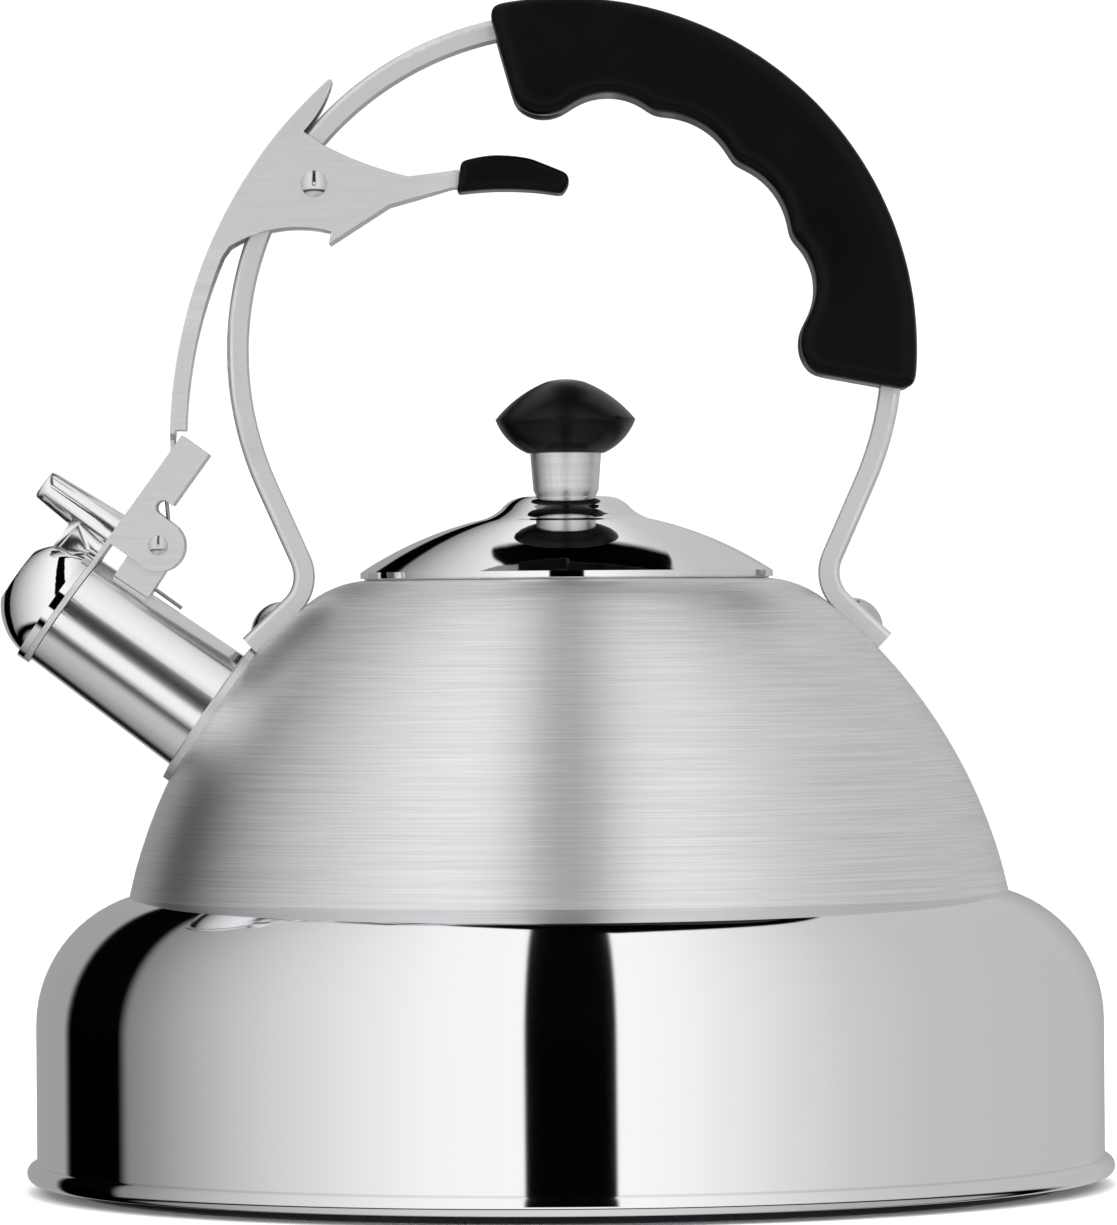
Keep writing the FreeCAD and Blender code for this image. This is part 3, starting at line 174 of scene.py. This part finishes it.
polished = mirrorSteel("mirrorStainless", 0.035)  # shows the room, bent but clear
softPolished = mirrorSteel("softBuffedStainless", 0.17)  # shows the same room blurred
domeBrushed = ringBrushedSteel()
stripSteel = satinSteel("linishedStainlessStrip", "#f2f2f3", 0.42, 0.6)  # pale and soft
plateSteel = satinSteel("linishedStainlessPlate", "#f6f6f7", 0.42, 0.9, True)  # paler, its lines level
fastenerSteel = satinSteel("tumbledStainlessFastener", "#d8d8da", 0.12, 1.2)  # small and bright
springWire = satinSteel("drawnSpringWire", "#a9aaad", 0.25, 0.3)  # greyer, with a narrow gleam
ferruleSteel = satinSteel("satinTurnedFerrule", "#e6e6e8", 0.34, 0.5, True)  # soft, with fine rings
rolledAluminium = satinSteel("rolledAluminiumDisc", "#c9cacc", 0.35, 0.8)  # dull mid grey
baseSteelPaintedShade = satinSteel("magneticSteelPaintedShade", "#2b2b2d", 0.4, 0.8)  # dull, painted dark to stand for the black reflection and shade under the base
gripNylon = mouldedNylon("gripNylon", "#030303", 0.3, 0.35, 0.00002, 0.1)  # matt black
knobNylon = mouldedNylon("knobNylon", "#040404", 0.26, 0.5, 0.00001, 0.16)  # black, a little shinier
print("materials ready")


def finishPiece(bm, name, material, body, replaced, sharp):
    bmesh.ops.remove_doubles(bm, verts=bm.verts, dist=2e-6)
    bmesh.ops.recalc_face_normals(bm, faces=bm.faces)
    mesh = bpy.data.meshes.new(name)
    bm.to_mesh(mesh)
    bm.free()
    mesh.shade_smooth()
    mesh.set_sharp_from_angle(angle=math.radians(sharp))
    mesh.materials.append(material)
    piece = bpy.data.objects.new(name, mesh)
    scene.collection.objects.link(piece)
    if body:  # a piece that bends between two bodies rides on neither
        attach(piece, body)
    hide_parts(*replaced)
    return piece


def drawProfile(bm, points, arcs, steps):  # (across, up) in mm; arcs: {edge: (radius, 1 for a left turn)}
    last = bm.verts.new((points[0][0] * mm, 0, points[0][1] * mm))
    for i, (x, z) in enumerate(points[1:]):
        start, end = last.co.copy(), Vector((x * mm, 0, z * mm))
        if i in arcs:
            radius, turn = arcs[i][0] * mm, arcs[i][1]
            half = (end - start) / 2
            side = Vector((-half.z, 0, half.x)).normalized() * turn
            centre = start + half + side * math.sqrt(max(radius ** 2 - half.length ** 2, 0))
            sweep = 2 * math.asin(min(half.length / radius, 1)) * turn
            made = bmesh.ops.spin(bm, geom=[last], cent=centre, axis=(0, -1, 0), angle=sweep, steps=steps)
            last = [g for g in made["geom_last"] if isinstance(g, bmesh.types.BMVert)][0]
        else:
            last = bmesh.ops.extrude_vert_indiv(bm, verts=[last])["verts"][0]
        last.co = end


def spunPiece(name, points, arcs, material, body, replaced, steps, arcSteps):
    bm = bmesh.new()
    drawProfile(bm, points, arcs, arcSteps)
    bmesh.ops.spin(bm, geom=bm.verts[:] + bm.edges[:], cent=(0, 0, 0), axis=(0, 0, 1), angle=2 * math.pi,
                   steps=steps, use_merge=True)
    bmesh.ops.remove_doubles(bm, verts=bm.verts, dist=2e-6)
    bmesh.ops.dissolve_degenerate(bm, edges=bm.edges, dist=1e-7)
    return finishPiece(bm, name, material, body, replaced, 38)


easing = {"corner": 35, "segments": 2, "flat": 0.6}  # degrees: eased past corner, merged under flat


# a pressed part's shape, its sharp edges eased by so many mm as tumbling leaves them
def easedCopy(node, name, material, body, edge):
    bm = bmesh.new()
    bm.from_mesh(nodes[node].data)
    bmesh.ops.remove_doubles(bm, verts=bm.verts, dist=1e-6)
    bmesh.ops.dissolve_limit(bm, angle_limit=math.radians(easing["flat"]), verts=bm.verts, edges=bm.edges)
    if edge:
        limit = math.radians(easing["corner"])
        sharp = [e for e in bm.edges if len(e.link_faces) == 2 and e.calc_face_angle(0) > limit]
        bmesh.ops.bevel(bm, geom=sharp, offset=edge * mm, offset_type="OFFSET", segments=easing["segments"],
                        profile=0.5, affect="EDGES", clamp_overlap=True, material=-1)
    piece = finishPiece(bm, name, material, body, (node,), 30)
    if edge:  # flat faces keep their flat light beside the eased edges
        even = piece.modifiers.new("even", "WEIGHTED_NORMAL")
        even.keep_sharp = True
    return piece


shell = {"wall": 108, "wallTop": 33, "shoulder": 27, "seam": 89, "seamHeight": 58.79,
         "innerSeamHeight": 57.95, "sheet": 0.8, "floor": 4.2, "bead": 2, "beadHeight": 3.5,
         "steps": 240, "arcSteps": 14}
wall, seam, bead, beadHeight = (shell[key] for key in ("wall", "seam", "bead", "beadHeight"))
inner = wall - shell["sheet"]
innerFloor = shell["floor"] + shell["sheet"]
outline = [
    (0, innerFloor), (inner, innerFloor), (inner, shell["wallTop"]), (seam, shell["innerSeamHeight"]),
    (seam, shell["seamHeight"]), (wall, shell["wallTop"]), (wall, beadHeight + bead),
    (wall + bead, beadHeight), (wall, beadHeight - bead), (wall - bead, beadHeight),
    (wall - bead, shell["floor"]), (0, shell["floor"])]
bends = {2: (shell["shoulder"] - shell["sheet"], 1), 4: (shell["shoulder"], -1)}
bends.update({edge: (bead, -1) for edge in (6, 7, 8)})
spunPiece("lowerShell", outline, bends, polished, "kettle", ("lower_shell",),
          shell["steps"], shell["arcSteps"])
print("shell done")

grip = {"voxel": 0.9, "passes": 26}
sleeve = {"voxel": 0.45, "passes": 36}


# the moulded shape, with every edge rounded off for the fingers
def roundedMoulding(sources, name, material, body, s):
    bm = bmesh.new()
    for source in sources:
        bm.from_mesh(nodes[source].data)
    bmesh.ops.remove_doubles(bm, verts=bm.verts, dist=1e-6)
    rough = bpy.data.meshes.new(name + "Blank")
    bm.to_mesh(rough)
    bm.free()
    blank = bpy.data.objects.new(name + "Blank", rough)
    scene.collection.objects.link(blank)
    blocks = blank.modifiers.new("blocks", "REMESH")
    blocks.mode, blocks.voxel_size = "VOXEL", s["voxel"] * mm
    rounding = blank.modifiers.new("rounding", "SMOOTH")
    rounding.factor, rounding.iterations = 0.5, s["passes"]
    mesh = bpy.data.meshes.new_from_object(blank.evaluated_get(bpy.context.evaluated_depsgraph_get()))
    bpy.data.objects.remove(blank)
    bm = bmesh.new()
    bm.from_mesh(mesh)
    return finishPiece(bm, name, material, body, sources, 60)


roundedMoulding(("grip_body", "grip_cover"), "grip", gripNylon, "kettle", grip)
roundedMoulding(("trigger_sleeve",), "triggerSleeve", gripNylon, "lever", sleeve)

# the spring spans the kettle and the cap, so it rides on neither body and stays where it is baked
spring = easedCopy("return_spring", "returnSpring", springWire, None, 0)
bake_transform(spring)
print("grip and spring done")

pressings = {  # node: finish, body, eased edge in mm
    "upper_dome": (domeBrushed, "kettle", 0),
    "heat_disc": (rolledAluminium, "kettle", 0),
    "base_cap": (baseSteelPaintedShade, "kettle", 0),
    "spout_tube": (softPolished, "kettle", 0),
    "spout_flange": (stripSteel, "kettle", 0.15),
    "spout_bracket": (plateSteel, "kettle", 0.2),
    "hinge_pin": (fastenerSteel, "kettle", 0),
    "handle_strap": (stripSteel, "kettle", 0.5),
    "grip_screws": (fastenerSteel, "kettle", 0),
    "foot_rivets": (fastenerSteel, "kettle", 0),
    "foot_washers": (fastenerSteel, "kettle", 0),
    "pivot_lug": (plateSteel, "kettle", 0.2),
    "lever_rivet": (fastenerSteel, "kettle", 0),
    "trigger_lever": (plateSteel, "lever", 0.2),
    "cap_bracket": (plateSteel, "cap", 0.2),
    "cap_shell": (polished, "cap", 0),
    "whistle_horn": (softPolished, "cap", 0),
    "whistle_plate": (stripSteel, "cap", 0),
    "whistle_cup": (stripSteel, "cap", 0),
    "lid_shell": (polished, "lid", 0),
    "lid_skirt": (stripSteel, "lid", 0),
    "knob_ferrule": (ferruleSteel, "lid", 0),
    "knob": (knobNylon, "lid", 0),
    "knob_washer": (fastenerSteel, "lid", 0),
    "knob_screw": (fastenerSteel, "lid", 0),
}
for node, (material, rider, edge) in pressings.items():
    easedCopy(node, node.title().replace("_", "") + "Piece", material, rider, edge)
print("copies done")


def floorCard():
    s = {"tint": "#f4f4f4", "rough": 0.9, "width": 30, "drop": 0.0005}  # just under the base, off its plane
    bm = bmesh.new()
    bmesh.ops.create_grid(bm, x_segments=1, y_segments=1, size=s["width"] / 2)
    bmesh.ops.translate(bm, vec=(0, 0, -s["drop"]), verts=bm.verts)
    mesh = bpy.data.meshes.new("floor")
    bm.to_mesh(mesh)
    bm.free()
    surface = {"Base Color": linearColour(s["tint"]), "Roughness": s["rough"]}
    mesh.materials.append(startMaterial("paleFloor", surface)[0])
    card = bpy.data.objects.new("floor", mesh)
    scene.collection.objects.link(card)
    card.visible_glossy = False  # the polished parts see the studio below the table instead


floorCard()

lights = {  # place, size, power; the metals don't see these, but the studio's panels
    "leftSoftbox": ((-1.3, -1.2, 1.4), 1.2, 14),
    "rightSoftbox": ((1.5, -1.0, 1.4), 1.2, 14),
    "topSoftbox": ((0, -0.2, 2.2), 1.4, 20),
}
aim = Vector((0, 0, 0.1))
for name, (at, size, power) in lights.items():
    data = bpy.data.lights.new(name, "AREA")
    data.size, data.energy = size, power
    lamp = bpy.data.objects.new(name, data)
    lamp.location = at
    lamp.rotation_euler = (aim - Vector(at)).to_track_quat("-Z", "Y").to_euler()
    lamp.visible_glossy = False
    scene.collection.objects.link(lamp)


# a plain white room; in reflections it is a ring of soft panels with black gaps between them, a black canopy
# high at the back and a dark skirt low down
def studioWorld():
    panels = [  # degrees round from the camera's side, brightness
        (-180, 0.36), (-139, 0.4), (-136, 0), (-112, 0), (-109, 0.26), (-101, 0.34), (-88, 0.5), (-77, 0.64),
        (-66, 0.76), (-56, 0.86), (-47, 0.95), (-37, 1.04), (-29, 1.11), (0, 1.17), (15, 1.14), (24, 1.09),
        (42, 0.91), (61, 0.73), (82, 0.64), (107, 0.62), (146, 0.58), (180, 0.36)]
    s = {"brightest": 1.2, "room": 1.15, "canopyHalf": 0.7, "canopyShift": 0.1, "canopyDepth": 0.76,
         "canopyCurve": 0.42, "underSkirt": 0.7}
    fades = {  # each grows softly from nothing at its first limit to all at its second
        "gap": (0.088, 0.08), "gapFront": (0.5, 0.4), "gapFoot": (-0.2, -0.12), "canopyEdge": (-0.012, 0.012),
        "canopyBack": (0.72, 0.66), "canopyFoot": (0.0, 0.1), "overSkirt": (-0.5, -0.38),
        "underSkirt": (-0.56, -0.66)}
    world = bpy.data.worlds.new("studioWorld")
    world.use_nodes = True
    tree = world.node_tree
    place = addNode(tree, "ShaderNodeTexCoord")
    way = addNode(tree, "ShaderNodeSeparateXYZ", links={0: (place, "Generated")})

    def sums(operation, a, b=None):
        settings, links = {"operation": operation}, {}
        for i, term in enumerate((a, b)):
            if isinstance(term, tuple):
                links[i] = term
            elif term is not None:
                settings[i] = term
        return (addNode(tree, "ShaderNodeMath", settings, links), 0)

    def fade(term, name):
        start, end = fades[name]
        limits = {"interpolation_type": "SMOOTHSTEP", "From Min": start, "From Max": end}
        return (addNode(tree, "ShaderNodeMapRange", limits, {"Value": term}), 0)

    x, y, z = ((way, i) for i in range(3))
    towards = sums("SUBTRACT", 1.0, y)  # a bulge shows its viewer a panel at half its angle, at any height
    share = sums("ADD", sums("DIVIDE", sums("ARCTAN2", x, towards), math.pi), 0.5)
    ring = addNode(tree, "ShaderNodeValToRGB", links={"Fac": share})
    ramp = ring.color_ramp
    while len(ramp.elements) < len(panels):
        ramp.elements.new(0.5)
    for element, (degrees, level) in zip(ramp.elements, panels):
        element.position = (degrees + 180) / 360
        element.color = (level / s["brightest"],) * 3 + (1.0,)
    across = sums("DIVIDE", x, towards)
    gap = sums("MULTIPLY", fade(sums("ABSOLUTE", across), "gap"), fade(y, "gapFront"))
    gap = sums("MULTIPLY", gap, fade(z, "gapFoot"))
    aside = sums("ABSOLUTE", sums("SUBTRACT", across, s["canopyShift"]))
    reach = sums("SUBTRACT", 1.0, sums("DIVIDE", aside, s["canopyHalf"]))
    reach = sums("POWER", sums("MAXIMUM", reach, 0.0), s["canopyCurve"])
    over = sums("SUBTRACT", sums("MULTIPLY", reach, s["canopyDepth"]), towards)
    canopy = sums("MULTIPLY", fade(over, "canopyEdge"), fade(y, "canopyBack"))
    canopy = sums("MULTIPLY", canopy, fade(z, "canopyFoot"))
    lit = sums("MULTIPLY", sums("SUBTRACT", 1.0, gap), sums("SUBTRACT", 1.0, canopy))
    below = sums("MULTIPLY", fade(z, "underSkirt"), s["underSkirt"])
    lit = sums("MULTIPLY", lit, sums("MAXIMUM", fade(z, "overSkirt"), below))
    strength = sums("MULTIPLY", lit, s["brightest"])
    studio = addNode(tree, "ShaderNodeBackground", links={"Color": (ring, 0), "Strength": strength})
    room = tree.nodes["Background"]
    room.inputs[0].default_value = linearColour("#ffffff")
    room.inputs[1].default_value = s["room"]
    path = addNode(tree, "ShaderNodeLightPath")
    views = {0: (path, "Is Glossy Ray"), 1: (room, 0), 2: (studio, 0)}
    mix = addNode(tree, "ShaderNodeMixShader", links=views)
    tree.links.new(mix.outputs[0], tree.nodes["World Output"].inputs[0])
    return world


scene.world = studioWorld()
scene.view_settings.view_transform = "Standard"

view = {"place": (-0.0017, -1.6, 0.1157), "roll": 0.44, "lens": 232, "sensor": 36, "farthest": 60}
camera = bpy.data.objects.new("camera", bpy.data.cameras.new("camera"))
camera.data.sensor_width = view["sensor"]
camera.data.lens = view["lens"]
camera.data.clip_end = view["farthest"]
camera.matrix_world = (Matrix.Translation(view["place"]) @ Matrix.Rotation(math.radians(view["roll"]), 4, "Y")
                       @ Matrix.Rotation(math.radians(90), 4, "X"))
scene.collection.objects.link(camera)
scene.camera = camera
print("studio ready")
